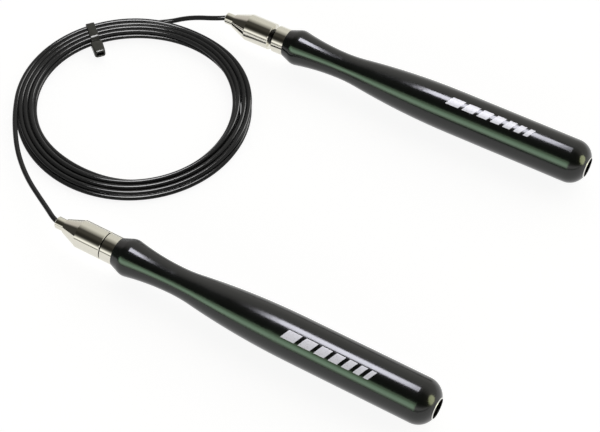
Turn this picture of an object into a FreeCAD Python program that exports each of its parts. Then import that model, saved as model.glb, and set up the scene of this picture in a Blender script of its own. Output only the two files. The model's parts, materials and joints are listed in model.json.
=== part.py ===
import FreeCAD, Part
import math
import os
import re
import Sketcher

# A speed jump rope, in millimetres, +Z up, lying on the plane z = 0.
# The origin is under the middle of the two handles, and +X runs along the near handle from nose to tail.
#
# Each handle and its swivel head are made in the handle's own frame: the axis is local X, which starts
# at the cable mouth (the collet's tip) and grows towards the tail, so a radius is a distance from X.
# The coil and its tie are made in the coil's frame: local X points from its centre to the tie.

SIZES = {
    # where the two handles lie
    "handle_length": 193.2,
    "near_axis_y": -75,
    "far_axis_y": 73.75,
    "far_toe_out": 0.85,
    "far_nut_open": 1.8,
    # swivel head, from the cable mouth backwards
    "nozzle_length": 4.8,
    "cone_length": 8.4,
    "nut_length": 13.3,
    "head_gap": 0.4,
    "collar_length": 6.2,
    "nozzle_radius": 2.85,
    "cone_tip_radius": 3.6,
    "head_radius": 6.75,
    "edge_break": 0.25,
    # shell outline, from its seam with the collar backwards
    "nose_radius": 6.8,
    "nose_cone_length": 4.4,
    "nose_cone_radius": 8.45,
    "flare_arc": 6,
    "waist_from_seam": 31,
    "waist_radius": 6.5,
    "waist_rear_arc": 75,
    "grip_from_seam": 92,
    "grip_radius": 10.5,
    "tail_from_seam": 151.8,
    "tail_arc": 8.5,
    "facet_radius": 5.4,
    "bore_radius": 4.6,
    "bore_from_seam": 34,
    "guide_radius": 4.2,
    # bearing housing
    "socket_radius": 5.6,
    "socket_spare": 0.4,
    "lip_thickness": 0.5,
    "lip_radius": 4.15,
    "housing_tail": 2.1,
    "circlip_thickness": 0.6,
    "circlip_inner_radius": 3.9,
    "circlip_outer_radius": 4.75,
    "circlip_opening": 50,
    "circlip_groove_play": 0.05,
    # ball bearings
    "bearing_width": 4,
    "bearing_bore_radius": 2,
    "inner_race_radius": 2.75,
    "outer_race_radius": 3.75,
    "bearing_radius": 4.5,
    "spacer_length": 6,
    "inner_spacer_radius": 2.6,
    "outer_spacer_radius": 3.95,
    "pitch_radius": 3.25,
    "ball_radius": 0.79,
    "ball_play": 0.03,
    "ball_count": 8,
    "cage_width": 2.4,
    "cage_inner_radius": 3,
    "cage_outer_radius": 3.5,
    "cage_pocket_radius": 0.85,
    "shield_thickness": 0.25,
    "shield_radius": 3,
    # spindle, collet and clamping nut
    "fit_play": 0.05,
    "thread_radius": 4,
    "thread_front": 11.9,
    "thread_back": 25.3,
    "neck_radius": 2.8,
    "seat_radius": 3.45,
    "seat_length": 3.2,
    "spindle_bore_radius": 1.3,
    "tail_thread_radius": 1.9,
    "tail_thread_length": 3.5,
    "collet_taper_front": 6.5,
    "collet_taper_length": 1.4,
    "collet_radius": 3.4,
    "collet_body_back": 11.8,
    "collet_back": 14.1,
    "collet_back_radius": 1.85,
    "collet_slit": 0.5,
    "collet_slit_front": 7.1,
    "nut_thread_front": 11.5,
    "seal_from_nut_back": 1.9,
    "seal_ring_radius": 4.5,
    "seal_cord_radius": 0.38,
    "seal_groove_radius": 4.95,
    "seal_groove_width": 1,
    "washer_thickness": 0.4,
    "washer_radius": 3.2,
    "lock_nut_thickness": 2.2,
    "lock_nut_flats": 5.5,
    # cable
    "cable_radius": 1.2,
    "cable_end": 53,
    "cap_length": 3,
    "cap_wall": 0.5,
    # wound coil and its tie
    "coil_centre_x": -111,
    "coil_centre_y": 5.8,
    "coil_lift": 0.6,
    "coil_tilt": 0.6,
    "coil_inner_radius": 46.6,
    "coil_outer_radius": 57.6,
    "coil_height": 5,
    "coil_corner": 1.6,
    "tie_bearing": 146.5,
    "strap_thickness": 1.05,
    "strap_width": 4.2,
    "head_length": 8,
    "head_width": 5.8,
    "head_height": 4.4,
    "head_slot_length": 1.6,
    "head_slot_width": 4,
}

# Stations along a handle's axis, each a formula in sizes and other stations.
STATIONS = {
    "cone_back": "nozzle_length + cone_length",
    "nut_back": "cone_back + nut_length",
    "collar_front": "nut_back + head_gap",
    "seam": "collar_front + collar_length",
    "front_bearing": "collar_front + lip_thickness",
    "front_bearing_back": "front_bearing + bearing_width",
    "rear_bearing": "front_bearing_back + spacer_length",
    "rear_bearing_back": "rear_bearing + bearing_width",
    "housing_back": "rear_bearing_back + housing_tail",
    "washer_back": "rear_bearing_back + washer_thickness",
    "collet_taper_back": "collet_taper_front + collet_taper_length",
    "seal_middle": "nut_back - seal_from_nut_back",
    "cap_front": "cable_end + cap_wall - cap_length",
}

# The cable's free stretches, as hand-chosen corners of its route: each starts in a handle's cable mouth
# and ends inside the coil's outer turns.
NEAR_LEAD = [
    (-96.6, -75.0, 10.5),
    (-100.6, -73.9, 10.3),
    (-105.5, -70.6, 9.3),
    (-115.0, -64.4, 7.1),
    (-127.0, -55.7, 4.8),
    (-139.5, -45.0, 3.2),
    (-148.9, -34.6, 2.6),
    (-155.2, -25.4, 2.5),
]
FAR_LEAD = [
    (-98.39, 72.29, 10.5),
    (-104.6, 72.0, 10.3),
    (-112.0, 70.0, 9.0),
    (-120.6, 65.6, 6.8),
    (-129.1, 59.4, 5.2),
    (-137.0, 52.6, 4.6),
]

SLIT_COUNT_PER_COLLET = 4
ARC_SHARE_OF_RUN = 0.45
VOLUME_TOLERANCE = 0.01

doc = FreeCAD.newDocument("jump_rope")
sheet = doc.addObject("Spreadsheet::Sheet", "Sizes")
for row, (alias, size) in enumerate(SIZES.items(), start=1):
    sheet.set(f"A{row}", alias)
    sheet.set(f"B{row}", str(size))
    sheet.setAlias(f"B{row}", alias)
doc.recompute()

subparts = []


# ---------------------------------------------------------------- formulas, sketches and features

def expression(formula):
    """Turn a formula in size and station names into an expression that reads the sheet."""
    def expand(match):
        word = match.group(0)
        if word in STATIONS:
            return "(" + expression(STATIONS[word]) + ")"
        if word in SIZES:
            return "Sizes." + word
        return word
    return re.sub(r"[a-z][a-z_]*", expand, formula)


def value(formula):
    """The present value of a formula, in millimetres."""
    return float(sheet.evalExpression(expression(formula)))


def origin_feature(body, role):
    """One of a body's own origin planes or axes."""
    for feature in body.Origin.OriginFeatures:
        if feature.Role == role:
            return feature
    raise ValueError("no origin feature " + role)


def new_body(label, placement):
    """An empty body that will hold one sub-part."""
    body = doc.addObject("PartDesign::Body", label)
    body.Label = label
    body.Placement = placement
    subparts.append(body)
    return body


def new_sketch(body, name, plane="XZ_Plane", offset="0"):
    """A sketch on an origin plane of the body, moved along the plane's normal by a formula."""
    sketch = body.newObject("Sketcher::SketchObject", body.Label + "_" + name)
    sketch.AttachmentSupport = [(origin_feature(body, plane), "")]
    sketch.MapMode = "FlatFace"
    sketch.setExpression("AttachmentOffset.Base.z", expression(offset))
    return sketch


def bind_last_constraint(sketch, formula):
    """Drive the constraint that was added last from the sheet."""
    sketch.setExpression(f"Constraints[{sketch.ConstraintCount - 1}]", expression(formula))


def hold_point(sketch, side, end, across, up):
    """Hold a point of a side at two formulas: across the sketch and up it."""
    for kind, formula, axis in (("DistanceX", across, -2), ("DistanceY", up, -1)):
        distance = value(formula)
        if abs(distance) < 1e-9:
            sketch.addConstraint(Sketcher.Constraint("PointOnObject", side, end, axis))
        elif distance > 0:
            sketch.addConstraint(Sketcher.Constraint(kind, -1, 1, side, end, distance))
            bind_last_constraint(sketch, formula)
        else:
            sketch.addConstraint(Sketcher.Constraint(kind, side, end, -1, 1, -distance))
            bind_last_constraint(sketch, f"-({formula})")


def add_loop(sketch, corners):
    """A closed loop of straight sides through corners, each corner given by two formulas."""
    points = [FreeCAD.Vector(value(across), value(up), 0) for across, up in corners]
    first = sketch.GeometryCount
    for start, end in zip(points, points[1:] + points[:1]):
        sketch.addGeometry(Part.LineSegment(start, end), False)
    count = len(corners)
    for index, (across, up) in enumerate(corners):
        following = first + (index + 1) % count
        sketch.addConstraint(Sketcher.Constraint("Coincident", first + index, 2, following, 1))
        hold_point(sketch, first + index, 1, across, up)


def add_circle(sketch, across, up, radius):
    """A circle whose centre and radius are formulas."""
    centre = FreeCAD.Vector(value(across), value(up), 0)
    circle = sketch.GeometryCount
    sketch.addGeometry(Part.Circle(centre, FreeCAD.Vector(0, 0, 1), value(radius)), False)
    hold_point(sketch, circle, 3, across, up)
    sketch.addConstraint(Sketcher.Constraint("Radius", circle, value(radius)))
    bind_last_constraint(sketch, radius)


def spin(body, sketch, kind="Revolution", axis="H_Axis", angle=360):
    """Turn a half outline about an axis of its own sketch, adding (Revolution) or cutting (Groove)."""
    feature = body.newObject("PartDesign::" + kind, sketch.Name + "_spun")
    feature.Profile = sketch
    feature.ReferenceAxis = (sketch, [axis])
    feature.Midplane = True
    feature.Angle = angle
    body.Tip = feature
    return feature


def pad(body, sketch, length, side="One side"):
    """Raise a sketch by a formula, to one side of its plane or evenly to both."""
    feature = body.newObject("PartDesign::Pad", sketch.Name + "_pad")
    feature.Profile = sketch
    feature.SideType = side
    feature.setExpression("Length", expression(length))
    body.Tip = feature
    return feature


def pocket(body, sketch, length, side="One side"):
    """Cut a sketch into the body by a formula, to one side of its plane or evenly to both."""
    feature = body.newObject("PartDesign::Pocket", sketch.Name + "_pocket")
    feature.Profile = sketch
    feature.SideType = side
    feature.setExpression("Length", expression(length))
    body.Tip = feature
    return feature


def repeat_round_axis(body, feature, count, angle=360):
    """Repeat a feature evenly about the body's X axis."""
    pattern = body.newObject("PartDesign::PolarPattern", feature.Name + "_round")
    pattern.Originals = [feature]
    pattern.Axis = (origin_feature(body, "X_Axis"), [""])
    pattern.Angle = angle
    pattern.Occurrences = count
    body.Tip = pattern


def turned(label, placement, corners, angle=360):
    """A lathe-turned piece: a closed half outline in (along the axis, radius), spun about local X."""
    body = new_body(label, placement)
    sketch = new_sketch(body, "outline")
    add_loop(sketch, corners)
    spin(body, sketch, angle=angle)
    return body


def ring(label, placement, front, back, inner, outer):
    """A plain ring between two stations and two radii."""
    return turned(label, placement, [(front, inner), (back, inner), (back, outer), (front, outer)])


def groove(body, name, corners):
    """A turned groove with straight sides."""
    sketch = new_sketch(body, name)
    add_loop(sketch, corners)
    spin(body, sketch, kind="Groove")


# ---------------------------------------------------------------- handle

def shell_points():
    """The shell's outline corners, with its tangent points worked out from the driving sizes."""
    seam = value("seam")
    nose = FreeCAD.Vector(seam, value("nose_radius"), 0)
    cone_end = FreeCAD.Vector(seam + value("nose_cone_length"), value("nose_cone_radius"), 0)
    waist = FreeCAD.Vector(seam + value("waist_from_seam"), value("waist_radius"), 0)
    grip = FreeCAD.Vector(seam + value("grip_from_seam"), value("grip_radius"), 0)
    tail = FreeCAD.Vector(seam + value("tail_from_seam"), value("grip_radius"), 0)

    cone_slope = math.atan2(cone_end.y - nose.y, cone_end.x - nose.x)
    flare = value("flare_arc")
    flare_centre = cone_end + FreeCAD.Vector(math.sin(cone_slope), -math.cos(cone_slope), 0) * flare
    drop = waist - flare_centre
    front_arc = (flare ** 2 - drop.x ** 2 - drop.y ** 2) / (2 * (drop.y - flare))
    front_centre = waist + FreeCAD.Vector(0, front_arc, 0)
    flare_end = flare_centre + (front_centre - flare_centre).normalize() * flare

    rear_arc = value("waist_rear_arc")
    rise = grip - waist
    shoulder_arc = (rise.x ** 2 + rise.y ** 2) / (2 * rise.y) - rear_arc
    rear_centre = waist + FreeCAD.Vector(0, rear_arc, 0)
    shoulder_centre = grip - FreeCAD.Vector(0, shoulder_arc, 0)
    rear_end = rear_centre + (shoulder_centre - rear_centre).normalize() * rear_arc

    tail_arc = value("tail_arc")
    tail_centre = tail - FreeCAD.Vector(0, tail_arc, 0)
    facet_height = value("facet_radius") - tail_centre.y
    facet = tail_centre + FreeCAD.Vector(math.sqrt(tail_arc ** 2 - facet_height ** 2), facet_height, 0)
    return {
        "nose": nose, "cone_end": cone_end, "flare_end": flare_end, "waist": waist,
        "rear_end": rear_end, "grip": grip, "tail": tail, "facet": facet,
        "flare_centre": flare_centre, "front_centre": front_centre, "rear_centre": rear_centre,
        "shoulder_centre": shoulder_centre, "tail_centre": tail_centre,
    }


def add_arc(sketch, centre, start, end):
    """An arc that runs anticlockwise from start to end about a centre."""
    radius = (start - centre).Length
    angles = [math.atan2(point.y - centre.y, point.x - centre.x) for point in (start, end)]
    circle = Part.Circle(centre, FreeCAD.Vector(0, 0, 1), radius)
    sketch.addGeometry(Part.ArcOfCircle(circle, angles[0], angles[1]), False)


def shell_outline(body):
    """The shell's half outline: cone, flare, waist, shoulder, grip, round tail, facet and stepped bore."""
    sketch = new_sketch(body, "outline")
    at = shell_points()
    bore = [
        ("handle_length", "bore_radius"),
        ("seam + bore_from_seam", "bore_radius"),
        ("seam + bore_from_seam", "guide_radius"),
        ("housing_back + socket_spare", "guide_radius"),
        ("housing_back + socket_spare", "socket_radius"),
        ("seam", "socket_radius"),
    ]
    bore_points = [FreeCAD.Vector(value(across), value(up), 0) for across, up in bore]

    cone, flare, waist_front, waist_rear, shoulder, grip, tail, facet = range(8)
    sketch.addGeometry(Part.LineSegment(at["nose"], at["cone_end"]), False)
    add_arc(sketch, at["flare_centre"], at["flare_end"], at["cone_end"])
    add_arc(sketch, at["front_centre"], at["flare_end"], at["waist"])
    add_arc(sketch, at["rear_centre"], at["waist"], at["rear_end"])
    add_arc(sketch, at["shoulder_centre"], at["grip"], at["rear_end"])
    sketch.addGeometry(Part.LineSegment(at["grip"], at["tail"]), False)
    add_arc(sketch, at["tail_centre"], at["facet"], at["tail"])
    inner_points = [at["facet"]] + bore_points + [at["nose"]]
    for start, end in zip(inner_points, inner_points[1:]):
        sketch.addGeometry(Part.LineSegment(start, end), False)

    tangent_joints = [
        (cone, 2, flare, 2), (flare, 1, waist_front, 1), (waist_front, 2, waist_rear, 1),
        (waist_rear, 2, shoulder, 2), (shoulder, 1, grip, 1), (grip, 2, tail, 2),
    ]
    for joint in tangent_joints:
        sketch.addConstraint(Sketcher.Constraint("Tangent", *joint))
    sketch.addConstraint(Sketcher.Constraint("Coincident", tail, 1, facet, 1))
    for side in range(facet, facet + len(bore)):
        sketch.addConstraint(Sketcher.Constraint("Coincident", side, 2, side + 1, 1))
    sketch.addConstraint(Sketcher.Constraint("Coincident", facet + len(bore), 2, cone, 1))

    hold_point(sketch, cone, 1, "seam", "nose_radius")
    hold_point(sketch, cone, 2, "seam + nose_cone_length", "nose_cone_radius")
    hold_point(sketch, waist_front, 2, "seam + waist_from_seam", "waist_radius")
    hold_point(sketch, grip, 1, "seam + grip_from_seam", "grip_radius")
    sketch.addConstraint(Sketcher.Constraint("Vertical", waist_front, 3, waist_front, 2))
    sketch.addConstraint(Sketcher.Constraint("Horizontal", grip))
    for side, radius in ((flare, "flare_arc"), (waist_rear, "waist_rear_arc"), (tail, "tail_arc")):
        sketch.addConstraint(Sketcher.Constraint("Radius", side, value(radius)))
        bind_last_constraint(sketch, radius)
    sketch.addConstraint(Sketcher.Constraint("DistanceX", -1, 1, grip, 2, at["tail"].x))
    bind_last_constraint(sketch, "seam + tail_from_seam")
    sketch.addConstraint(Sketcher.Constraint("DistanceY", -1, 1, facet, 1, at["facet"].y))
    bind_last_constraint(sketch, "facet_radius")
    for side, (across, up) in enumerate(bore, start=facet):
        hold_point(sketch, side, 2, across, up)
    return sketch


def handle_shell(side, placement):
    """The black handle: turned outside, bored through from the tail, with a socket for the housing."""
    body = new_body(side + "_handle_shell", placement)
    spin(body, shell_outline(body))


def bearing_housing(side, placement):
    """The plated collar, its spigot in the shell's socket, and the groove for the circlip inside."""
    body = turned(side + "_bearing_housing", placement, [
        ("collar_front", "lip_radius"),
        ("collar_front", "head_radius - edge_break"),
        ("collar_front + edge_break", "head_radius"),
        ("seam", "head_radius"),
        ("seam", "socket_radius"),
        ("housing_back", "socket_radius"),
        ("housing_back", "bearing_radius"),
        ("front_bearing", "bearing_radius"),
        ("front_bearing", "lip_radius"),
    ])
    groove(body, "circlip_groove", [
        ("rear_bearing_back", "bearing_radius - circlip_groove_play"),
        ("rear_bearing_back + circlip_thickness + circlip_groove_play",
         "bearing_radius - circlip_groove_play"),
        ("rear_bearing_back + circlip_thickness + circlip_groove_play",
         "circlip_outer_radius + circlip_groove_play"),
        ("rear_bearing_back", "circlip_outer_radius + circlip_groove_play"),
    ])


def circlip(side, placement):
    """The open spring ring that keeps both bearings in the housing."""
    back = "rear_bearing_back + circlip_thickness"
    turned(side + "_circlip", placement, [
        ("rear_bearing_back", "circlip_inner_radius"),
        (back, "circlip_inner_radius"),
        (back, "circlip_outer_radius"),
        ("rear_bearing_back", "circlip_outer_radius"),
    ], angle=360 - value("circlip_opening"))


# ---------------------------------------------------------------- ball bearings

def race(label, placement, front, inner, outer):
    """A bearing ring with the ball track cut into it."""
    body = ring(label, placement, front, f"{front} + bearing_width", inner, outer)
    track = new_sketch(body, "track")
    add_circle(track, f"{front} + bearing_width / 2", "pitch_radius", "ball_radius + ball_play")
    spin(body, track, kind="Groove")


def balls(label, placement, front):
    """One bearing's balls, evenly round the pitch circle."""
    body = new_body(label, placement)
    body.AllowCompound = True
    ball = body.newObject("PartDesign::AdditiveSphere", label + "_ball")
    ball.AttachmentSupport = [(origin_feature(body, "XY_Plane"), "")]
    ball.MapMode = "FlatFace"
    ball.setExpression("Radius", expression("ball_radius"))
    ball.setExpression("AttachmentOffset.Base.x", expression(f"{front} + bearing_width / 2"))
    ball.setExpression("AttachmentOffset.Base.z", expression("pitch_radius"))
    repeat_round_axis(body, ball, int(value("ball_count")))


def cage(label, placement, front):
    """The ring that spaces one bearing's balls, with a round pocket for each."""
    middle = f"{front} + bearing_width / 2"
    body = ring(label, placement, f"{middle} - cage_width / 2", f"{middle} + cage_width / 2",
                "cage_inner_radius", "cage_outer_radius")
    hole = new_sketch(body, "pocket", plane="XY_Plane")
    add_circle(hole, middle, "0", "cage_pocket_radius")
    repeat_round_axis(body, pocket(body, hole, "bearing_radius"), int(value("ball_count")))


def bearings(side, placement):
    """Two shielded ball bearings, with a sleeve between their inner races and one between their outer."""
    for name, front in (("front", "front_bearing"), ("rear", "rear_bearing")):
        race(f"{side}_{name}_inner_race", placement, front, "bearing_bore_radius", "inner_race_radius")
        race(f"{side}_{name}_outer_race", placement, front, "outer_race_radius", "bearing_radius")
        balls(f"{side}_{name}_balls", placement, front)
        cage(f"{side}_{name}_cage", placement, front)
    ring(side + "_front_shield", placement, "front_bearing", "front_bearing + shield_thickness",
         "shield_radius", "outer_race_radius")
    ring(side + "_rear_shield", placement, "rear_bearing_back - shield_thickness", "rear_bearing_back",
         "shield_radius", "outer_race_radius")
    ring(side + "_inner_spacer", placement, "front_bearing_back", "rear_bearing",
         "bearing_bore_radius", "inner_spacer_radius")
    ring(side + "_outer_spacer", placement, "front_bearing_back", "rear_bearing",
         "outer_spacer_radius", "bearing_radius")


# ---------------------------------------------------------------- spindle, collet and clamping nut

def spindle(side, placement):
    """The hollow shaft: seat and thread for the collet's nut, journal for the bearings, rear thread."""
    back = "rear_bearing_back + tail_thread_length"
    turned(side + "_spindle", placement, [
        ("thread_front", "seat_radius"),
        ("thread_front", "thread_radius - edge_break"),
        ("thread_front + edge_break", "thread_radius"),
        ("thread_back", "thread_radius"),
        ("thread_back", "neck_radius"),
        ("front_bearing", "neck_radius"),
        ("front_bearing", "bearing_bore_radius"),
        ("rear_bearing_back", "bearing_bore_radius"),
        ("rear_bearing_back", "tail_thread_radius"),
        (back, "tail_thread_radius"),
        (back, "spindle_bore_radius"),
        ("thread_front + seat_length", "spindle_bore_radius"),
    ])


def collet(side, placement):
    """The slit sleeve that grips the cable; its plain tip is the nozzle in front of the nut."""
    body = turned(side + "_collet", placement, [
        ("0", "cable_radius"),
        ("0", "nozzle_radius - edge_break"),
        ("edge_break", "nozzle_radius"),
        ("collet_taper_front", "nozzle_radius"),
        ("collet_taper_back", "collet_radius"),
        ("collet_body_back", "collet_radius"),
        ("collet_back", "collet_back_radius"),
        ("collet_back", "cable_radius"),
    ])
    slit = new_sketch(body, "slit", plane="XY_Plane")
    add_loop(slit, [
        ("collet_slit_front", "-collet_slit / 2"),
        ("collet_back + edge_break", "-collet_slit / 2"),
        ("collet_back + edge_break", "collet_slit / 2"),
        ("collet_slit_front", "collet_slit / 2"),
    ])
    repeat_round_axis(body, pocket(body, slit, "thread_radius"), SLIT_COUNT_PER_COLLET)


def nose_nut(side, placement):
    """The plated conical nut: its inner taper closes the collet as its thread runs up the spindle."""
    hole = "nozzle_radius + fit_play"
    inside = "collet_radius + fit_play"
    thread = "thread_radius + fit_play"
    body = turned(side + "_nose_nut", placement, [
        ("nozzle_length", hole),
        ("nozzle_length", "cone_tip_radius"),
        ("cone_back", "head_radius"),
        ("nut_back - edge_break", "head_radius"),
        ("nut_back", "head_radius - edge_break"),
        ("nut_back", thread),
        ("nut_thread_front", thread),
        ("nut_thread_front", inside),
        ("collet_taper_back - fit_play", inside),
        ("collet_taper_front - fit_play", hole),
    ])
    groove(body, "seal_groove", [
        ("seal_middle - seal_groove_width / 2", "thread_radius"),
        ("seal_middle + seal_groove_width / 2", "thread_radius"),
        ("seal_middle + seal_groove_width / 2", "seal_groove_radius"),
        ("seal_middle - seal_groove_width / 2", "seal_groove_radius"),
    ])


def nut_seal(side, placement):
    """The rubber O-ring in the nut's groove."""
    body = new_body(side + "_nut_seal", placement)
    section = new_sketch(body, "section")
    add_circle(section, "seal_middle", "seal_ring_radius", "seal_cord_radius")
    spin(body, section)


def lock_nut(side, placement):
    """The hexagonal nut that holds the inner races against the spindle's shoulder."""
    body = new_body(side + "_lock_nut", placement)
    hexagon = new_sketch(body, "hexagon", plane="YZ_Plane", offset="washer_back")
    high = "lock_nut_flats / 2"
    near = "lock_nut_flats / 2 / sqrt(3)"
    wide = "lock_nut_flats / sqrt(3)"
    add_loop(hexagon, [
        (wide, "0"), (near, high), (f"-{near}", high),
        (f"-{wide}", "0"), (f"-{near}", f"-{high}"), (near, f"-{high}"),
    ])
    add_circle(hexagon, "0", "0", "tail_thread_radius")
    pad(body, hexagon, "lock_nut_thickness")


def cable_inside(side, placement):
    """The cable's end in the head, and the cap on its cut end."""
    turned(side + "_cable_end", placement, [
        ("0", "0"), ("cable_end", "0"), ("cable_end", "cable_radius"), ("0", "cable_radius"),
    ])
    turned(side + "_end_cap", placement, [
        ("cable_end", "0"),
        ("cable_end + cap_wall", "0"),
        ("cable_end + cap_wall", "cable_radius + cap_wall - edge_break"),
        ("cable_end + cap_wall - edge_break", "cable_radius + cap_wall"),
        ("cap_front", "cable_radius + cap_wall"),
        ("cap_front", "cable_radius"),
        ("cable_end", "cable_radius"),
    ])


def swivel_handle(side, placement, nut_open=0):
    """One complete handle with its swivel head and the cable's end, its nut unscrewed by nut_open."""
    opened = placement.multiply(FreeCAD.Placement(FreeCAD.Vector(-nut_open, 0, 0), FreeCAD.Rotation()))
    handle_shell(side, placement)
    bearing_housing(side, placement)
    bearings(side, placement)
    circlip(side, placement)
    spindle(side, placement)
    ring(side + "_lock_washer", placement, "rear_bearing_back", "washer_back",
         "tail_thread_radius", "washer_radius")
    lock_nut(side, placement)
    collet(side, opened)
    nose_nut(side, opened)
    nut_seal(side, opened)
    cable_inside(side, opened)


# ---------------------------------------------------------------- cable, coil and tie

def cord_path(points):
    """Straight runs joined by tangent arcs, each as large as its two runs allow, and the arcs' radii."""
    edges = []
    radii = []
    start = points[0]
    for before, corner, after in zip(points, points[1:], points[2:]):
        way_in = corner - before
        way_out = after - corner
        trim = ARC_SHARE_OF_RUN * min(way_in.Length, way_out.Length)
        half_turn = way_in.getAngle(way_out) / 2
        radius = trim / math.tan(half_turn)
        way_in.normalize()
        way_out.normalize()
        inward = (way_out - way_in).normalize()
        entry = corner - way_in * trim
        leave = corner + way_out * trim
        middle = corner + inward * (radius / math.cos(half_turn) - radius)
        edges.append(Part.LineSegment(start, entry).toShape())
        edges.append(Part.Arc(entry, middle, leave).toShape())
        radii.append(radius)
        start = leave
    edges.append(Part.LineSegment(start, points[-1]).toShape())
    return Part.Wire(edges), radii


def cable_lead(label, route):
    """A free stretch of cable: a round tube along its route."""
    points = [FreeCAD.Vector(*corner) for corner in route]
    path, radii = cord_path(points)
    radius = value("cable_radius")
    section = Part.Wire([Part.makeCircle(radius, points[0], points[1] - points[0])])
    tube = path.makePipeShell([section], True, True)
    expected = math.pi * radius ** 2 * path.Length
    if abs(tube.Volume / expected - 1) > VOLUME_TOLERANCE:
        raise ValueError(f"{label} has volume {tube.Volume:.1f}, expected {expected:.1f}")
    print(f"{label}: length {path.Length:.1f}, arc radii", [round(radius, 1) for radius in radii])
    lead = doc.addObject("Part::Feature", label)
    lead.Label = label
    lead.Shape = tube
    subparts.append(lead)


def coil_corners(grow="0"):
    """The wound bundle's outline across its turns, grown outwards by a formula."""
    inner = f"coil_inner_radius - {grow}"
    outer = f"coil_outer_radius + {grow}"
    bottom = f"-{grow}"
    top = f"coil_height + {grow}"
    return [
        (f"{inner} + coil_corner", bottom), (f"{outer} - coil_corner", bottom),
        (outer, f"{bottom} + coil_corner"), (outer, f"{top} - coil_corner"),
        (f"{outer} - coil_corner", top), (f"{inner} + coil_corner", top),
        (inner, f"{top} - coil_corner"), (inner, f"{bottom} + coil_corner"),
    ]


def cable_coil(placement):
    """The outer shape of all the cable's turns, as one ring."""
    body = new_body("cable_coil", placement)
    sketch = new_sketch(body, "section")
    add_loop(sketch, coil_corners())
    spin(body, sketch, axis="V_Axis")


def cable_tie(placement):
    """The tie: a strap round the bundle, and a square head on the inner side of the ring."""
    body = new_body("cable_tie", placement)
    strap = new_sketch(body, "strap")
    add_loop(strap, coil_corners("strap_thickness"))
    add_loop(strap, coil_corners())
    pad(body, strap, "strap_width", side="Symmetric")
    head = new_sketch(body, "head")
    back = "coil_inner_radius - strap_thickness / 2"
    front = "coil_inner_radius - head_length"
    bottom = "(coil_height - head_height) / 2"
    top = "(coil_height + head_height) / 2"
    add_loop(head, [(front, bottom), (back, bottom), (back, top), (front, top)])
    pad(body, head, "head_width", side="Symmetric")
    slot = new_sketch(body, "slot", plane="YZ_Plane", offset=front)
    add_loop(slot, [
        ("-head_slot_width / 2", "coil_height / 2 - head_slot_length / 2"),
        ("head_slot_width / 2", "coil_height / 2 - head_slot_length / 2"),
        ("head_slot_width / 2", "coil_height / 2 + head_slot_length / 2"),
        ("-head_slot_width / 2", "coil_height / 2 + head_slot_length / 2"),
    ])
    recess = pocket(body, slot, "head_slot_length")
    recess.Reversed = True


# ---------------------------------------------------------------- assembly

def handle_placement(axis_y, turn):
    """A handle's frame: its middle lies at x = 0 on the line y = axis_y, turned about +Z."""
    middle = FreeCAD.Vector(0, axis_y, value("grip_radius"))
    rotation = FreeCAD.Rotation(FreeCAD.Vector(0, 0, 1), turn)
    mouth = middle - rotation.multVec(FreeCAD.Vector(value("handle_length") / 2, 0, 0))
    return FreeCAD.Placement(mouth, rotation)


def coil_placement():
    """The coil's frame: local X points at the tie, raised because the strap lies under the turns."""
    centre = FreeCAD.Vector(value("coil_centre_x"), value("coil_centre_y"), value("coil_lift"))
    bearing = FreeCAD.Rotation(FreeCAD.Vector(0, 0, 1), value("tie_bearing"))
    tilt = FreeCAD.Rotation(FreeCAD.Vector(0, 1, 0), -value("coil_tilt"))
    return FreeCAD.Placement(centre, bearing.multiply(tilt))


def check_document():
    """Stop if any object failed, or if a sub-part isn't valid solid geometry."""
    for item in doc.Objects:
        if "Invalid" in item.State or "Error" in item.State:
            raise ValueError(f"{item.Name} failed: {item.State}")
    for item in doc.findObjects("Sketcher::SketchObject"):
        if item.solve() != 0 or not item.FullyConstrained:
            raise ValueError(f"{item.Name} isn't fully constrained")
    for subpart in subparts:
        shape = subpart.Shape
        if shape.isNull() or not shape.isValid() or not shape.Solids:
            raise ValueError(f"{subpart.Label} has no valid solid")


def write_steps():
    """Write each sub-part to its own file."""
    os.makedirs("parts", exist_ok=True)
    for subpart in subparts:
        subpart.Shape.exportStep(os.path.join("parts", subpart.Label + ".step"))


swivel_handle("near", handle_placement(value("near_axis_y"), 0))
swivel_handle("far", handle_placement(value("far_axis_y"), value("far_toe_out")), value("far_nut_open"))
cable_lead("cable_lead_near", NEAR_LEAD)
cable_lead("cable_lead_far", FAR_LEAD)
cable_coil(coil_placement())
cable_tie(coil_placement())
doc.recompute()
check_document()
write_steps()
print(len(subparts), "sub-parts written")
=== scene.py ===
import json
import math

import bmesh
import bpy
from mathutils import Matrix, Vector


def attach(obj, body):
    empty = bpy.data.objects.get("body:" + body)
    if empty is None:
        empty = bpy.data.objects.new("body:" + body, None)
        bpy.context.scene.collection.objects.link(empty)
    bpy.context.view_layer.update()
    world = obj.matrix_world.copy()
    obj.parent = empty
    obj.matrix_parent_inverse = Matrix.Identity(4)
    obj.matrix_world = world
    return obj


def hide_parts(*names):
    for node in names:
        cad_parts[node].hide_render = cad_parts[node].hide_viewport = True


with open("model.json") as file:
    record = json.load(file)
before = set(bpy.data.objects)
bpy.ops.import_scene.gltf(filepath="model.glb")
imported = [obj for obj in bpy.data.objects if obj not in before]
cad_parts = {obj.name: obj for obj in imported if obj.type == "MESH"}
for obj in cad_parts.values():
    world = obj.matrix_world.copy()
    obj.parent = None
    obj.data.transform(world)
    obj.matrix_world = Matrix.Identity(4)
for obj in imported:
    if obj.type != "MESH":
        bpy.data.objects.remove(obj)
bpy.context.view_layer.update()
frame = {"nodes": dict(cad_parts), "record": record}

MM = 0.001


# ---------------------------------------------------------------- camera, floor and light

CAMERA_TARGET = Vector((-0.00815, -0.00974, 0.0))
CAMERA_AZIMUTH = math.radians(30.4)
CAMERA_ELEVATION = math.radians(52.4)
CAMERA_DISTANCE = 0.775
CAMERA_LENS = 101.0
CAMERA_SENSOR = 36.0
CAMERA_CLIP_START = 0.01

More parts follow.
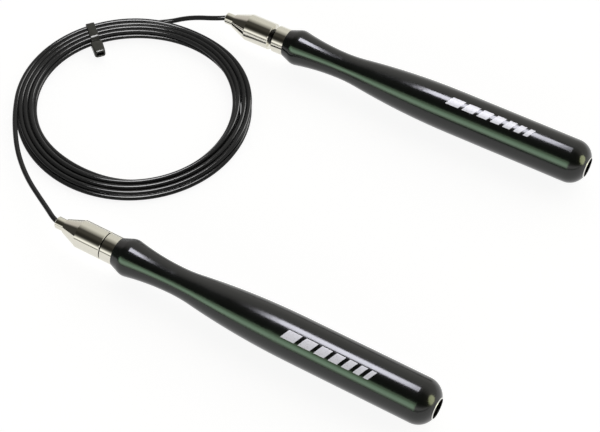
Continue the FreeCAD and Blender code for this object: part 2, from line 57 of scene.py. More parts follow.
# What the studio shows at each height round the handles' length, as (degrees, brightness, colour).
# 0 is the horizon in front, 90 is straight up, 180 is the horizon behind and 270 is straight down.
STUDIO_BANDS = (
    (0, 0.22, (1.00, 1.00, 0.97)),
    (3, 0.30, (1.00, 1.00, 0.97)),
    (8, 1.10, (1.00, 1.00, 0.97)),
    (13, 1.34, (1.00, 1.00, 0.97)),
    (17, 1.25, (1.00, 1.00, 0.97)),
    (25, 0.50, (1.00, 1.00, 0.95)),
    (34, 0.10, (1.00, 0.98, 0.88)),
    (43, 0.025, (1.00, 0.95, 0.80)),
    (58, 0.03, (1.00, 0.95, 0.80)),
    (72, 0.06, (1.00, 0.95, 0.80)),
    (92, 0.07, (1.00, 0.96, 0.85)),
    (99, 0.20, (1.00, 0.97, 0.88)),
    (106, 0.37, (1.00, 0.98, 0.90)),
    (114, 0.50, (1.00, 0.98, 0.91)),
    (124, 0.70, (1.00, 0.99, 0.93)),
    (133, 0.82, (1.00, 0.99, 0.93)),
    (176, 0.82, (1.00, 0.99, 0.94)),
    (188, 0.86, (1.00, 1.00, 0.97)),
    (350, 0.86, (1.00, 1.00, 0.97)),
    (356, 0.22, (1.00, 1.00, 0.97)),
)
# Towards the handles' mouths, between these shares of -X, the studio changes to bands that are dark
# in front and above.
DARK_END = (0.56, 0.70)
END_BANDS = (
    (0, 0.05, (1.00, 0.97, 0.88)),
    (90, 0.05, (1.00, 0.97, 0.88)),
    (104, 0.20, (1.00, 0.95, 0.90)),
    (122, 0.62, (1.00, 0.95, 0.92)),
    (170, 0.75, (1.00, 0.97, 0.93)),
    (195, 0.86, (1.00, 1.00, 0.97)),
    (340, 0.86, (1.00, 1.00, 0.97)),
    (352, 0.05, (1.00, 1.00, 0.97)),
)

FLOOR_SIZE = 0.9
FLOOR_DROP = 0.3 * MM
FLOOR_COLOUR = (0.3, 0.3, 0.3)
FLOOR_ROUGHNESS = 0.9
FLOOR_GLOW = 0.90

# Lights that only some pieces receive: middle and size in metres, the point each faces, its strength
# (its power over pi and over both sides) and its colour. A handle's lights are placed from the middle
# of its axis: a strip above it, two green panels in front and one lamp past its tail.
HANDLE_LIGHTS = (
    {"middle": (-0.029, 0.062, 0.29), "size": (0.120, 0.112), "faces": (-0.029, 0.062, 0.0),
     "strength": 19.0, "colour": (0.90, 0.90, 1.0)},
    {"middle": (-0.210, -0.42, 0.165), "size": (0.680, 0.310), "faces": (-0.210, 0.0, 0.0),
     "strength": 1.7, "colour": (0.66, 1.0, 0.62)},
    {"middle": (-0.225, -0.42, 0.155), "size": (0.640, 0.150), "faces": (-0.225, 0.0, 0.0),
     "strength": 1.9, "colour": (0.52, 1.0, 0.62)},
    {"middle": (0.50, 0.085, 0.150), "size": (0.260, 0.340), "faces": (0.095, 0.0, 0.017),
     "strength": 4.2, "colour": (0.92, 1.0, 0.55), "shape": "ELLIPSE"},
)
# The cable and its tie have one light above the coil and one behind the far handle.
CABLE_LIGHTS = (
    {"middle": (-0.105, 0.000, 0.30), "size": (0.14, 0.24), "faces": (-0.105, 0.0, 0.0),
     "strength": 42.0, "colour": (1.0, 1.0, 1.0)},
    {"middle": (0.200, 0.58, 0.38), "size": (0.37, 0.30), "faces": (-0.155, -0.015, 0.0),
     "strength": 16.0, "colour": (1.0, 1.0, 0.98)},
)


def add_camera():
    """The camera: a long lens, from in front, above and the tails' side."""
    level = math.cos(CAMERA_ELEVATION)
    back = Vector((math.sin(CAMERA_AZIMUTH) * level, -math.cos(CAMERA_AZIMUTH) * level,
                   math.sin(CAMERA_ELEVATION)))
    data = bpy.data.cameras.new("camera")
    data.lens = CAMERA_LENS
    data.sensor_width = CAMERA_SENSOR
    data.clip_start = CAMERA_CLIP_START
    camera = bpy.data.objects.new("camera", data)
    camera.location = CAMERA_TARGET + CAMERA_DISTANCE * back
    camera.rotation_euler = back.to_track_quat("Z", "Y").to_euler()
    bpy.context.scene.collection.objects.link(camera)
    bpy.context.scene.camera = camera


class Nodes:
    """A material's or world's nodes, with short calls to add them and join them."""

    def __init__(self, tree):
        self.tree = tree

    def add(self, kind, inputs=(), **settings):
        node = self.tree.nodes.new(kind)
        for name, setting in settings.items():
            setattr(node, name, setting)
        for socket, given in dict(inputs).items():
            self.give(node.inputs[socket], given)
        return node

    def give(self, socket, given):
        if isinstance(given, bpy.types.NodeSocket):
            self.tree.links.new(given, socket)
        else:
            socket.default_value = given

    def math(self, operation, first, second=0.0, third=0.0):
        node = self.add("ShaderNodeMath", {0: first, 1: second, 2: third}, operation=operation)
        return node.outputs[0]

    def between(self, share, low, high):
        """A number that goes from low to high as the share goes from 0 to 1."""
        return self.math("MULTIPLY_ADD", share, high - low, low)

    def ramp(self, factor, stops, interpolation="LINEAR"):
        """A colour ramp through (position, colour) stops."""
        node = self.add("ShaderNodeValToRGB", {"Fac": factor})
        node.color_ramp.interpolation = interpolation
        elements = node.color_ramp.elements
        while len(elements) < len(stops):
            elements.new(0.5)
        for element, (position, colour) in zip(elements, stops):
            element.position = position
            element.color = (*colour, 1.0)
        return node.outputs["Color"]

    def noise(self, vector, scale, detail=2.0):
        node = self.add("ShaderNodeTexNoise", {"Vector": vector, "Scale": scale, "Detail": detail})
        return node.outputs["Fac"]

    def stretch(self, vector, scale):
        node = self.add("ShaderNodeMapping", {"Vector": vector, "Scale": scale})
        return node.outputs["Vector"]


def studio_bands(nodes, turn, bands):
    """A background whose light changes with the turn round X, given as a share of a full turn."""
    brightest = max(brightness for _, brightness, _ in bands)
    stops = [(degrees / 360, [brightness / brightest * channel for channel in colour])
             for degrees, brightness, colour in bands]
    ramp = nodes.ramp(turn, stops)
    return nodes.add("ShaderNodeBackground", {"Color": ramp, "Strength": brightest}).outputs[0]


def add_studio():
    """The world: white to the camera, and bands of light and dark to everything else."""
    world = bpy.data.worlds.new("studio")
    bpy.context.scene.world = world
    world.use_nodes = True
    world.node_tree.nodes.clear()
    nodes = Nodes(world.node_tree)
    direction = nodes.add("ShaderNodeTexCoord").outputs["Generated"]
    parts = nodes.add("ShaderNodeSeparateXYZ", {0: direction}).outputs
    angle = nodes.math("ARCTAN2", parts["Z"], nodes.math("MULTIPLY", parts["Y"], -1.0))
    turn = nodes.math("FRACT", nodes.math("DIVIDE", angle, 2 * math.pi))
    bands = studio_bands(nodes, turn, STUDIO_BANDS)
    end_bands = studio_bands(nodes, turn, END_BANDS)
    towards_mouths = nodes.math("MULTIPLY", parts["X"], -1.0)
    at_end = nodes.ramp(towards_mouths, ((DARK_END[0], (0, 0, 0)), (DARK_END[1], (1, 1, 1))))
    studio = nodes.add("ShaderNodeMixShader", {0: at_end, 1: bands, 2: end_bands})
    white = nodes.add("ShaderNodeBackground", {"Color": (1, 1, 1, 1), "Strength": 1.0})
    seen = nodes.add("ShaderNodeLightPath").outputs["Is Camera Ray"]
    both = nodes.add("ShaderNodeMixShader", {0: seen, 1: studio.outputs[0], 2: white.outputs[0]})
    nodes.add("ShaderNodeOutputWorld", {"Surface": both.outputs[0]})


def add_floor():
    """The floor: a pale sheet that glows a little, so shadows on it stay faint."""
    bpy.ops.mesh.primitive_plane_add(size=FLOOR_SIZE, location=(0, 0, -FLOOR_DROP))
    floor = bpy.context.object
    floor.name = "floor"
    material = bpy.data.materials.new("floor_paper")
    material.use_nodes = True
    shader = material.node_tree.nodes["Principled BSDF"]
    shader.inputs["Base Color"].default_value = (*FLOOR_COLOUR, 1)
    shader.inputs["Roughness"].default_value = FLOOR_ROUGHNESS
    shader.inputs["Emission Color"].default_value = (1, 1, 1, 1)
    shader.inputs["Emission Strength"].default_value = FLOOR_GLOW
    floor.data.materials.append(material)


def add_light(name, lamp, offset, pieces):
    """A soft area light that only the given pieces receive."""
    data = bpy.data.lights.new(name, "AREA")
    data.shape = lamp.get("shape", "RECTANGLE")
    data.size, data.size_y = lamp["size"]
    data.energy = lamp["strength"] * math.pi * data.size * data.size_y
    data.color = lamp["colour"]
    light = bpy.data.objects.new(name, data)
    middle = Vector(lamp["middle"])
    light.location = middle + offset
    light.rotation_euler = (middle - Vector(lamp["faces"])).to_track_quat("Z", "Y").to_euler()
    light.visible_camera = False
    receivers = bpy.data.collections.new(name + "_receivers")
    for piece in pieces:
        receivers.objects.link(piece)
    light.light_linking.receiver_collection = receivers
    bpy.context.scene.collection.objects.link(light)


def add_handle_lights(side, bars):
    """A handle's own lights. The printed bars receive only the strip over the handle."""
    axis_y, _ = HANDLE_AXES[side]
    shell = frame["nodes"][side + "_handle_shell"]
    for index, lamp in enumerate(HANDLE_LIGHTS):
        pieces = [shell, *bars] if index == 0 else [shell]
        add_light(f"{side}_light_{index}", lamp, Vector((0, axis_y, 0)), pieces)


def add_cable_lights(pieces):
    """The lights that only the cable and its tie receive."""
    for index, lamp in enumerate(CABLE_LIGHTS):
        add_light(f"cable_light_{index}", lamp, Vector((0, 0, 0)), pieces)


# ---------------------------------------------------------------- the handles' frames

HANDLE_LENGTH = 193.2 * MM
HANDLE_HEIGHT = 10.5 * MM
# Each handle's axis: its Y at the handle's middle, and its turn about +Z in degrees.
HANDLE_AXES = {"near": (-75.0 * MM, 0.0), "far": (73.75 * MM, 0.85)}


def handle_frame(side):
    """A handle's frame: X runs from its mouth to its tail, and Z is up."""
    axis_y, turn = HANDLE_AXES[side]
    middle = Matrix.Translation((0, axis_y, HANDLE_HEIGHT)) @ Matrix.Rotation(math.radians(turn), 4, "Z")
    return middle @ Matrix.Translation((-HANDLE_LENGTH / 2, 0, 0))


# ---------------------------------------------------------------- the cable's line

CABLE_DIAMETER = 2.4 * MM
# The free stretches, from each handle's mouth to the coil, in mm.
NEAR_ROUTE = (
    (-96.6, -75.0, 10.5), (-99.4, -74.3, 10.4), (-105.5, -70.6, 9.2), (-114.5, -65.5, 7.6),
    (-123.8, -60.1, 6.2), (-132.9, -53.6, 5.2), (-141.4, -46.1, 4.7), (-149.4, -37.0, 4.4),
)
FAR_ROUTE = (
    (-98.39, 72.29, 10.5), (-101.0, 70.8, 10.2), (-106.0, 69.1, 9.1), (-113.0, 67.4, 7.4),
    (-119.5, 65.1, 5.4), (-126.0, 61.4, 3.0),
)
# The winding, in mm and degrees. Turns run from the near stretch, over the ring's outer edge, inwards
# in an upper layer, over the inner edge, and outwards in a lower layer to the far stretch.
COIL_CENTRE = (-111.0, 5.8)
JOIN_BEARING = 215
TURNS = 7.27
POINTS_PER_TURN = 24
# The upper layer's last place along the winding, and the lower layer's first.
LAST_UPPER = 3
FIRST_LOWER = 4
TIE_BEARING = 146.5
COIL_LIFT = 0.6
COIL_TILT = 0.6
INNER_RADIUS = 47.83
TURN_PITCH = 2.42
# The upper layer starts this many pitches outside INNER_RADIUS, and the lower layer starts at it.
UPPER_START = 3.5
# The first turn starts EDGE_TUCK pitches further in, and is back in its place after ENTRY_SHARE of a
# turn. The cable bows in by EDGE_TUCK again where it goes down over the inner edge.
EDGE_TUCK = 0.25
ENTRY_SHARE = 0.2
# The ring isn't round: its radius swings as (lobes, mm, bearing of the first lobe).
RING_SWINGS = ((1, 0.90, 13), (2, 0.86, 19), (3, 0.33, 55))
# Turns swing about their places as (mm, swings per turn, phase), but not at TIGHT_BEARING.
TURN_SWINGS = ((0.26, 0.61, 0.5), (0.20, 1.37, 1.1))
TIGHT_BEARING = 158.5
# The turns are slackest at SLACK_BEARING. There their pitch is wider by the share SLACK_PITCH, and
# they move in by the share SLACK_SPREAD of how far inside OUTERMOST_STEPS they lie.
SLACK_BEARING = -60
SLACK_PITCH = 0.11
SLACK_SPREAD = 0.10
OUTERMOST_STEPS = 3.3
# Between these shares of each turn, counted from JOIN_BEARING, the turns move one place on.
MOVE_START = 0.25
MOVE_END = 0.66
# One loose inner turn bows inwards, as (turn, half width in turns, mm).
INNER_BOW = (3.85, 0.14, 2.0)
# Turns that touch are TOUCHING_DIAMETERS apart. The last turn holds up the one over it until
# END_REACH of a turn past its end.
TOUCHING_DIAMETERS = 1.008
END_REACH = 0.03


def bearing(turn):
    return JOIN_BEARING - 360 * turn


def smooth_step(start, end, here):
    share = min(1.0, max(0.0, (here - start) / (end - start)))
    return share * share * (3 - 2 * share)


def looseness(turn):
    """0 near the tie, where the turns lie together, and 1 opposite."""
    return abs(math.sin(math.radians(bearing(turn) - TIGHT_BEARING) / 2))


def slack(turn):
    """0 where the turns lie tight, and 1 where they are slackest."""
    share = (1 + math.cos(math.radians(bearing(turn) - SLACK_BEARING))) / 2
    return share ** 2


def winding_place(turn):
    """How many places along the winding a turn has moved: 0 to 3 in the upper layer, 4 to 7 below."""
    whole = math.floor(turn)
    return whole + smooth_step(MOVE_START, MOVE_END, turn - whole)


def winding_steps(turn):
    """How many pitches outside INNER_RADIUS a turn's place is."""
    place = winding_place(turn)
    if place <= LAST_UPPER:
        return UPPER_START - place - EDGE_TUCK * (1 - smooth_step(0.0, ENTRY_SHARE, turn))
    if place >= FIRST_LOWER:
        return place - FIRST_LOWER
    over_edge = place - LAST_UPPER
    return (UPPER_START - LAST_UPPER) * (1 - over_edge) - EDGE_TUCK * math.sin(math.pi * over_edge)


def inner_bow(turn):
    """How far the loose inner turn bows inwards, in mm."""
    bow_turn, half_width, bow = INNER_BOW
    from_middle = min(1.0, abs(turn - bow_turn) / half_width)
    return bow * (1 + math.cos(math.pi * from_middle)) / 2


def winding_radius(turn):
    """The distance from the coil's centre, in mm."""
    steps = winding_steps(turn)
    radius = INNER_RADIUS - inner_bow(turn)
    radius += steps * TURN_PITCH * (1 + SLACK_PITCH * slack(turn))
    radius += (steps - OUTERMOST_STEPS) * TURN_PITCH * SLACK_SPREAD * slack(turn)
    for lobes, swing, lobe_bearing in RING_SWINGS:
        radius += swing * math.cos(lobes * math.radians(bearing(turn) - lobe_bearing))
    for swing, rate, phase in TURN_SWINGS:
        radius += swing * looseness(turn) * math.sin(2 * math.pi * rate * turn + phase)
    return radius


def resting_height(turn):
    """The cable's height over the coil's underside: on it, or on the lower turns it lies over."""
    reach = CABLE_DIAMETER / MM * TOUCHING_DIAMETERS
    height = reach / 2
    if turn >= FIRST_LOWER:
        return height
    radius = winding_radius(turn)
    below = turn + math.ceil(FIRST_LOWER - turn)
    while below <= TURNS + END_REACH:
        apart = abs(winding_radius(below) - radius)
        if apart < reach:
            height = max(height, reach / 2 + math.sqrt(reach ** 2 - apart ** 2))
        below += 1
    return height


def winding_height(turn):
    """The resting height, eased along the cable because it is stiff, with the middle counted twice."""
    step = 1 / POINTS_PER_TURN
    around = [resting_height(max(0.0, turn + offset * step)) for offset in (-1, 0, 0, 1)]
    return sum(around) / len(around)


def winding_point(turn):
    """A control point of the winding, in metres."""
    angle = math.radians(bearing(turn))
    radius = winding_radius(turn)
    across = radius * math.cos(angle - math.radians(TIE_BEARING))
    height = COIL_LIFT + math.sin(math.radians(COIL_TILT)) * across + winding_height(turn)
    control = radius / math.cos(math.pi / POINTS_PER_TURN)
    return Vector((COIL_CENTRE[0] + control * math.cos(angle),
                   COIL_CENTRE[1] + control * math.sin(angle), height)) * MM


def cable_points():
    """The cable's control points from the near mouth to the far one, in metres."""
    points = [Vector(corner) * MM for corner in NEAR_ROUTE]
    for step in range(round(TURNS * POINTS_PER_TURN) + 1):
        points.append(winding_point(step / POINTS_PER_TURN))
    points += [Vector(corner) * MM for corner in reversed(FAR_ROUTE)]
    return points


def spline_line(points, resolution):
    """Points along the smooth NURBS line that has the given control points."""
    data = bpy.data.curves.new("line", "CURVE")
    data.dimensions = "3D"
    data.resolution_u = resolution
    spline = data.splines.new("NURBS")
    spline.points.add(len(points) - 1)
    for control, point in zip(spline.points, points):
        control.co = (*point, 1)
    spline.order_u = 3
    spline.use_endpoint_u = True
    curve = bpy.data.objects.new("line", data)
    bpy.context.scene.collection.objects.link(curve)
    bpy.context.view_layer.update()
    mesh = bpy.data.meshes.new_from_object(curve)
    line = [vertex.co.copy() for vertex in mesh.vertices]
    bpy.data.meshes.remove(mesh)
    bpy.data.objects.remove(curve)
    bpy.data.curves.remove(data)
    return line


# ---------------------------------------------------------------- mesh helpers

def new_piece(name, vertices, faces, material, smooth=True):
    """A mesh object of the given vertices and faces, with outward normals."""
    mesh = bpy.data.meshes.new(name)
    mesh.from_pydata([tuple(vertex) for vertex in vertices], [], faces)
    shape = bmesh.new()
    shape.from_mesh(mesh)
    bmesh.ops.recalc_face_normals(shape, faces=shape.faces)
    shape.to_mesh(mesh)
    shape.free()
    mesh.polygons.foreach_set("use_smooth", [smooth] * len(mesh.polygons))
    mesh.materials.append(material)
    piece = bpy.data.objects.new(name, mesh)
    bpy.context.scene.collection.objects.link(piece)
    return piece


def rounded_rectangle(width, height, corner, steps=4):
    """Points round a rectangle with rounded corners, centred on the origin."""
    points = []
    for quarter in range(4):
        start = quarter * math.pi / 2
        middle_x = (width / 2 - corner) * (1 if quarter in (0, 3) else -1)
        middle_y = (height / 2 - corner) * (1 if quarter in (0, 1) else -1)
        for step in range(steps + 1):
            angle = start + step / steps * math.pi / 2
            points.append((middle_x + corner * math.cos(angle), middle_y + corner * math.sin(angle)))
    return points


def loft(name, sections, material, closed=False):
    """A skin through sections of equal point counts, capped at both ends or closed on itself."""
    count = len(sections[0])
    vertices = [point for section in sections for point in section]
    faces = []
    for index in range(len(sections) if closed else len(sections) - 1):
        following = (index + 1) % len(sections)
        for side in range(count):
            across = (side + 1) % count
            faces.append((index * count + side, index * count + across,
                          following * count + across, following * count + side))
    if not closed:
        faces.append(tuple(reversed(range(count))))
        faces.append(tuple(range(len(vertices) - count, len(vertices))))
    return new_piece(name, vertices, faces, material)


def rings_along(line, radius, sides):
    """Circles of points round a line, each turned from the one before no more than the line turns."""
    tangent = (line[1] - line[0]).normalized()
    normal = tangent.cross(Vector((0, 0, 1))).normalized()
    angles = [2 * math.pi * side / sides for side in range(sides)]
    rings = []
    for index, centre in enumerate(line):
        ahead = line[min(index + 1, len(line) - 1)] - line[max(index - 1, 0)]
        tangent = ahead.normalized()
        normal = (normal - tangent * normal.dot(tangent)).normalized()
        other = tangent.cross(normal)
        rings.append([centre + radius * (math.cos(angle) * normal + math.sin(angle) * other)
                      for angle in angles])
    return rings


def add_tube_uvs(piece, line, sides):
    """UVs of metres along the line and turns round it. The last strip round ends at a full turn."""
    along = [0.0]
    for before, after in zip(line, line[1:]):
        along.append(along[-1] + (after - before).length)
    layer = piece.data.uv_layers.new(name="along_and_round")
    for polygon in piece.data.polygons:
        places = [divmod(piece.data.loops[loop].vertex_index, sides) for loop in polygon.loop_indices]
        last_strip = any(side == sides - 1 for _, side in places)
        for loop, (ring, side) in zip(polygon.loop_indices, places):
            turned = 1.0 if last_strip and side == 0 else side / sides
            layer.data[loop].uv = (along[ring], turned)


def tube(name, line, radius, sides, material):
    """A round tube along a line, with UVs along it and round it."""
    piece = loft(name, rings_along(line, radius, sides), material)
    add_tube_uvs(piece, line, sides)
    return piece


# ---------------------------------------------------------------- materials

# Noise scales are in cells per metre. A pair is the lowest and the highest value.
METAL_SMUDGE_SCALE = 160.0
# The cable's jacket shows the lay of its core as slanted ribs: their pitch along it, and how many
# there are round it.
RIB_PITCH = 0.8 * MM
RIBS_ROUND = 6
RIB_HEIGHT = 0.0018 * MM
JACKET_COLOUR = (0.0035, 0.0035, 0.0035)
JACKET_SHINE = 0.15
JACKET_ROUGHNESS = (0.08, 0.18)
JACKET_SMUDGE_SCALE = 260.0
# The tail's end is cut back to bare metal beyond this place along X.
BARE_TAIL_X = 96.3 * MM
BARE_COLOUR = (0.70, 0.69, 0.66)
BARE_EXTRA_ROUGHNESS = 0.08
LACQUER_COLOUR = (0.0026, 0.0028, 0.0026)
LACQUER_ROUGHNESS = (0.07, 0.27)
LACQUER_CLOUD_SCALE = 70.0
ORANGE_PEEL_SCALE = 700.0
ORANGE_PEEL_HEIGHT = 0.004 * MM
# Turning marks are close together along X and long round it.
TURNING_SCALES = (6000.0, 40.0, 40.0)
# A metal's smudges take its roughness between these shares of its usual value.
METAL_ROUGHNESS_SHARES = (0.5, 1.5)
MOULDED_PATCH_SCALE = 300.0
# Moulded plastic's patches: a noise value, and the share of the colour there.
MOULDED_PATCHES = ((0.3, 0.8), (0.7, 1.2))
MOULDED_ROUGHNESS_SWING = 0.1
INK_SPECK_SCALE = 2500.0
INK_STOPS = ((0.30, (0.42, 0.42, 0.42)), (0.44, (0.66, 0.66, 0.66)))
INK_ROUGHNESS = 0.35


def new_material(name):
    material = bpy.data.materials.new(name)
    material.use_nodes = True
    nodes = Nodes(material.node_tree)
    return material, nodes, material.node_tree.nodes["Principled BSDF"]


def place_in_frame(nodes):
    """The surface point's place in the row frame, in metres."""
    return nodes.add("ShaderNodeTexCoord").outputs["Object"]


def bump(nodes, height, distance):
    node = nodes.add("ShaderNodeBump", {"Height": height, "Distance": distance, "Strength": 1.0})
    return node.outputs["Normal"]


def jacket_material():
    """Black cable jacket: glossy, with the stranded core's lay showing through as fine slanted ribs."""
    material, nodes, shader = new_material("cable_jacket")
    uv = nodes.add("ShaderNodeTexCoord").outputs["UV"]
    parts = nodes.add("ShaderNodeSeparateXYZ", {0: uv}).outputs
    lay = nodes.math("MULTIPLY_ADD", parts["X"], 1 / (RIB_PITCH * RIBS_ROUND), parts["Y"])
    ribs = nodes.math("SINE", nodes.math("MULTIPLY", lay, 2 * math.pi * RIBS_ROUND))
    smudge = nodes.noise(place_in_frame(nodes), JACKET_SMUDGE_SCALE)
    shader.inputs["Base Color"].default_value = (*JACKET_COLOUR, 1)
    shader.inputs["Specular IOR Level"].default_value = JACKET_SHINE
    nodes.give(shader.inputs["Roughness"], nodes.between(smudge, *JACKET_ROUGHNESS))
    nodes.give(shader.inputs["Normal"], bump(nodes, ribs, RIB_HEIGHT))
    return material


def lacquer_material():
    """Gloss black lacquer, and the bare turned metal of the tail's cut ring."""
    material, nodes, shader = new_material("black_lacquer")
    place = place_in_frame(nodes)
    along = nodes.add("ShaderNodeSeparateXYZ", {0: place}).outputs["X"]
    bare = nodes.math("GREATER_THAN", along, BARE_TAIL_X)
    cloud = nodes.noise(place, LACQUER_CLOUD_SCALE)
    colour = nodes.ramp(bare, ((0.0, LACQUER_COLOUR), (1.0, BARE_COLOUR)), "CONSTANT")
    rough = nodes.between(cloud, *LACQUER_ROUGHNESS)
    nodes.give(shader.inputs["Base Color"], colour)
    nodes.give(shader.inputs["Metallic"], bare)
    nodes.give(shader.inputs["Roughness"], nodes.math("MULTIPLY_ADD", bare, BARE_EXTRA_ROUGHNESS, rough))
    orange_peel = nodes.noise(place, ORANGE_PEEL_SCALE, detail=1.0)
    nodes.give(shader.inputs["Normal"], bump(nodes, orange_peel, ORANGE_PEEL_HEIGHT))
    return material


def turned_metal(name, colour, roughness, groove_depth):
    """Bare or plated metal with fine turning marks round X and slight smudges."""
    material, nodes, shader = new_material(name)
    place = place_in_frame(nodes)
    marks = nodes.noise(nodes.stretch(place, TURNING_SCALES), 1.0, detail=3.0)
    smudge = nodes.noise(place, METAL_SMUDGE_SCALE)
    smoothest, roughest = [share * roughness for share in METAL_ROUGHNESS_SHARES]
    shader.inputs["Base Color"].default_value = (*colour, 1)
    shader.inputs["Metallic"].default_value = 1.0
    nodes.give(shader.inputs["Roughness"], nodes.between(smudge, smoothest, roughest))
    nodes.give(shader.inputs["Normal"], bump(nodes, marks, groove_depth))
    return material


def moulded_material(name, colour, roughness, grain_scale, grain_depth, shine=0.5):
    """Moulded plastic or rubber with a fine grain and slightly lighter and darker patches."""
    material, nodes, shader = new_material(name)
    place = place_in_frame(nodes)
    grain = nodes.noise(place, grain_scale)
    patches = nodes.noise(place, MOULDED_PATCH_SCALE)
    shades = [(value, [channel * share for channel in colour]) for value, share in MOULDED_PATCHES]
    smoothest = roughness - MOULDED_ROUGHNESS_SWING
    roughest = roughness + MOULDED_ROUGHNESS_SWING
    shader.inputs["Specular IOR Level"].default_value = shine
    nodes.give(shader.inputs["Base Color"], nodes.ramp(patches, shades))
    nodes.give(shader.inputs["Roughness"], nodes.between(grain, smoothest, roughest))
    nodes.give(shader.inputs["Normal"], bump(nodes, grain, grain_depth))
    return material


def ink_material():
    """White printing ink, worn thin in small specks."""
    material, nodes, shader = new_material("white_ink")
    specks = nodes.noise(place_in_frame(nodes), INK_SPECK_SCALE, detail=3.0)
    nodes.give(shader.inputs["Base Color"], nodes.ramp(specks, INK_STOPS))
    shader.inputs["Roughness"].default_value = INK_ROUGHNESS
    return material


MATERIALS = {
    "handle": lacquer_material(),
    "plating": turned_metal("nickel_plate", (0.72, 0.70, 0.62), 0.07, 0.0012 * MM),
    "bearing_steel": turned_metal("bearing_steel", (0.60, 0.60, 0.62), 0.12, 0.001 * MM),
    "turned_steel": turned_metal("turned_steel", (0.06, 0.06, 0.06), 0.30, 0.004 * MM),
    "spring_steel": turned_metal("spring_steel", (0.12, 0.12, 0.13), 0.35, 0.003 * MM),
    "plain_aluminium": turned_metal("plain_aluminium", (0.75, 0.75, 0.76), 0.22, 0.004 * MM),
    "cage": moulded_material("cage_nylon", (0.75, 0.70, 0.58), 0.5, 1800.0, 0.006 * MM),
    "seal": moulded_material("seal_rubber", (0.02, 0.02, 0.02), 0.6, 2200.0, 0.010 * MM),
    "cap": moulded_material("cap_plastic", (0.03, 0.03, 0.03), 0.4, 1500.0, 0.006 * MM),
    "tie": moulded_material("tie_nylon", (0.006, 0.006, 0.005), 0.22, 1300.0, 0.004 * MM, shine=0.2),
    "ink": ink_material(),
    "cable_jacket": jacket_material(),
}


def finish_cad_nodes():
    """Give every CAD node the finish of its material slot."""
    for subpart in frame["record"]["subparts"]:
        for slot in frame["nodes"][subpart["node"]].material_slots:
            slot.material = MATERIALS[subpart["material_slot"]]


# ---------------------------------------------------------------- the cable and its tie

TUBE_SIDES = 14
POINTS_PER_SPAN = 10
TIE_MIDDLE_RADIUS = 52.15
TIE_PLACE_BEARING = 146.2
TIE_DIRECTION = 139.5
# The turns' centres where the tie holds them: across from the tie's middle, and up, in mm.
BUNDLE_HULL = ((2.28, 1.2), (3.48, 3.33), (-3.81, 3.27), (-5.04, 1.17))
STRAP_WIDTH = 4.2
STRAP_THICKNESS = 0.9
STRAP_EDGE = 0.25
STRAP_CLEARANCE = 0.05
CORNER_STEPS = 8
# The head's sections from the strap to its end and back into its slot: across, width, height, corner.
HEAD_SECTIONS = (
    (-6.35, 4.3, 2.4, 0.3), (-7.0, 4.4, 2.6, 0.5), (-7.3, 5.5, 3.8, 0.8), (-7.8, 5.9, 4.3, 0.9),
    (-13.4, 5.6, 4.3, 0.9), (-14.5, 5.3, 4.1, 1.0), (-15.0, 4.6, 3.5, 0.9), (-15.0, 3.7, 2.6, 0.35),
    (-14.7, 3.5, 2.4, 0.3), (-12.8, 3.3, 2.2, 0.3),
)
HEAD_MIDDLE_HEIGHT = 2.3


def tie_frame():
    """The tie's frame: X points outwards across the turns, Z is up, in mm."""
    place = math.radians(TIE_PLACE_BEARING)
    height = COIL_LIFT + math.sin(math.radians(COIL_TILT)) * TIE_MIDDLE_RADIUS
    middle = Vector((COIL_CENTRE[0] + TIE_MIDDLE_RADIUS * math.cos(place),
                     COIL_CENTRE[1] + TIE_MIDDLE_RADIUS * math.sin(place), height))
    to_metres = Matrix.Scale(MM, 4)
    return to_metres @ Matrix.Translation(middle) @ Matrix.Rotation(math.radians(TIE_DIRECTION), 4, "Z")


def strap_loop():
    """The strap's middle line round the turns, as (point, outward direction) in the tie's X and Z."""
    offset = CABLE_DIAMETER / MM / 2 + STRAP_CLEARANCE + STRAP_THICKNESS / 2
    loop = []
    corners = [Vector(corner) for corner in BUNDLE_HULL]
    for index, corner in enumerate(corners):
        before = corner - corners[index - 1]
        after = corners[(index + 1) % len(corners)] - corner
        start = math.atan2(-before.x, before.y)
        end = math.atan2(-after.x, after.y)
        while end < start:
            end += 2 * math.pi
        for step in range(CORNER_STEPS + 1):
            angle = start + (end - start) * step / CORNER_STEPS
            outward = Vector((math.cos(angle), math.sin(angle)))
            loop.append((corner + offset * outward, outward))
    return loop


def strap_sections(place):
    """The strap's sections round the turns, in metres."""
    profile = rounded_rectangle(STRAP_WIDTH, STRAP_THICKNESS, STRAP_EDGE)
    sections = []
    for point, outward in strap_loop():
        section = []
        for along, out in profile:
            across = point + out * outward
            section.append(place @ Vector((across.x, along, across.y)))
        sections.append(section)
    return sections


def head_sections(place):
    """The head's sections, in metres."""
    sections = []
    for across, width, height, corner in HEAD_SECTIONS:
        profile = rounded_rectangle(width, height, corner)
        sections.append([place @ Vector((across, along, HEAD_MIDDLE_HEIGHT + up)) for along, up in profile])
    return sections


def add_tie():
    """The tie: a flat strap round the turns and a square head on the ring's inner side."""
    place = tie_frame()
    strap = loft("tie_strap", strap_sections(place), MATERIALS["tie"], closed=True)
    head = loft("tie_head", head_sections(place), MATERIALS["tie"])
    for piece in (strap, head):
        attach(piece, "rope")
    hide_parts("cable_tie")
    return [strap, head]


def add_cable():
    """The cable as one piece that replaces the three CAD nodes which stand for it."""
    line = spline_line(cable_points(), POINTS_PER_SPAN)
    cable = tube("cable", line, CABLE_DIAMETER / 2, TUBE_SIDES, MATERIALS["cable_jacket"])
    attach(cable, "rope")
    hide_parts("cable_lead_near", "cable_lead_far", "cable_coil")
    return cable


# ---------------------------------------------------------------- printed bars

# Plain slanted bars stand where each handle is printed, in mm from the handle's mouth. Each is
# shorter than the one before it.
BAR_START = 121.0
BAR_LENGTHS = (6.6, 5.8, 5.1, 4.4, 3.7, 3.0, 2.3)
BAR_GAP = 1.9
BAR_SLANT = 2.4
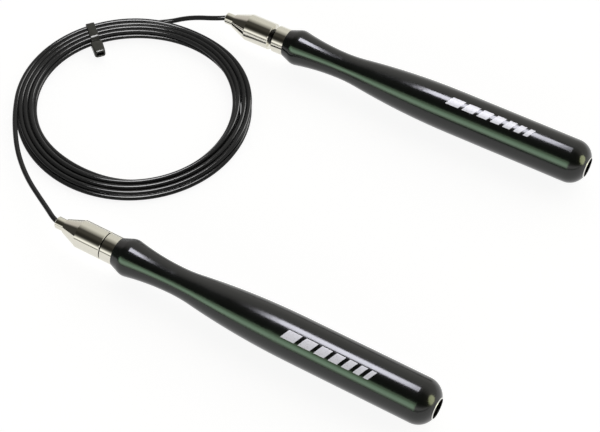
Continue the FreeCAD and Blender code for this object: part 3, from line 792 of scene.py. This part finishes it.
# Each handle's print: degrees up from level at the front to its middle, and its height in degrees.
BAR_PLACES = {"near": 61.0, "far": 75.0}
BAR_TALL = 24.0
# A bar's two skins are this far outside and inside the handle's surface.
BAR_RAISE = 0.04
BAR_SINK = 0.06
BAR_COLUMNS = 6
BAR_ROWS = 8
# Rays that look for a handle's surface start this far from its axis.
RAY_START = 50.0 * MM


def surface_radius(shell, place, along, angle):
    """How far from a handle's axis its surface is, in metres."""
    outward = place.to_3x3() @ Vector((0, -math.cos(angle), math.sin(angle)))
    foot = place @ Vector((along, 0, 0))
    surface = shell.ray_cast(foot + RAY_START * outward, -outward)[1]
    return (surface - foot).length


def bar_skin(side, start, length, offset):
    """A bar's rows of points, this far outside the handle's surface."""
    shell = frame["nodes"][side + "_handle_shell"]
    place = handle_frame(side)
    skin = []
    for row in range(BAR_ROWS + 1):
        up = row / BAR_ROWS
        angle = math.radians(BAR_PLACES[side] + (up - 0.5) * BAR_TALL)
        for column in range(BAR_COLUMNS + 1):
            along = (start + length * column / BAR_COLUMNS + BAR_SLANT * up) * MM
            radius = surface_radius(shell, place, along, angle) + offset * MM
            skin.append(place @ Vector((along, -radius * math.cos(angle), radius * math.sin(angle))))
    return skin


def plate_faces(columns, rows):
    """The faces of a plate between two grids of points, with all of the outer grid's points first."""
    wide = columns + 1
    below = wide * (rows + 1)
    faces = []
    for row in range(rows):
        for column in range(columns):
            corner = row * wide + column
            faces.append((corner, corner + 1, corner + 1 + wide, corner + wide))
            faces.append(tuple(below + vertex for vertex in reversed(faces[-1])))
    rim = list(range(columns))
    rim += [row * wide + columns for row in range(rows)]
    rim += [rows * wide + column for column in range(columns, 0, -1)]
    rim += [row * wide for row in range(rows, 0, -1)]
    for here, following in zip(rim, rim[1:] + rim[:1]):
        faces.append((following, here, below + here, below + following))
    return faces


def printed_bar(side, index, start, length):
    """One bar: a thin slanted plate that follows the handle's surface."""
    vertices = bar_skin(side, start, length, BAR_RAISE) + bar_skin(side, start, length, -BAR_SINK)
    faces = plate_faces(BAR_COLUMNS, BAR_ROWS)
    bar = new_piece(f"{side}_printed_bar_{index}", vertices, faces, MATERIALS["ink"], smooth=False)
    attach(bar, side + "_handle")
    return bar


def add_printed_bars(side):
    """A handle's row of bars, from the waist to the tail."""
    bars = []
    start = BAR_START
    for index, length in enumerate(BAR_LENGTHS):
        bars.append(printed_bar(side, index, start, length))
        start += length + BAR_GAP
    return bars


# ---------------------------------------------------------------- build

bpy.context.scene.view_settings.view_transform = "Standard"
add_camera()
add_studio()
add_floor()
finish_cad_nodes()
ties = add_tie()
cable = add_cable()
add_cable_lights([cable, *ties])
for side in HANDLE_AXES:
    add_handle_lights(side, add_printed_bars(side))
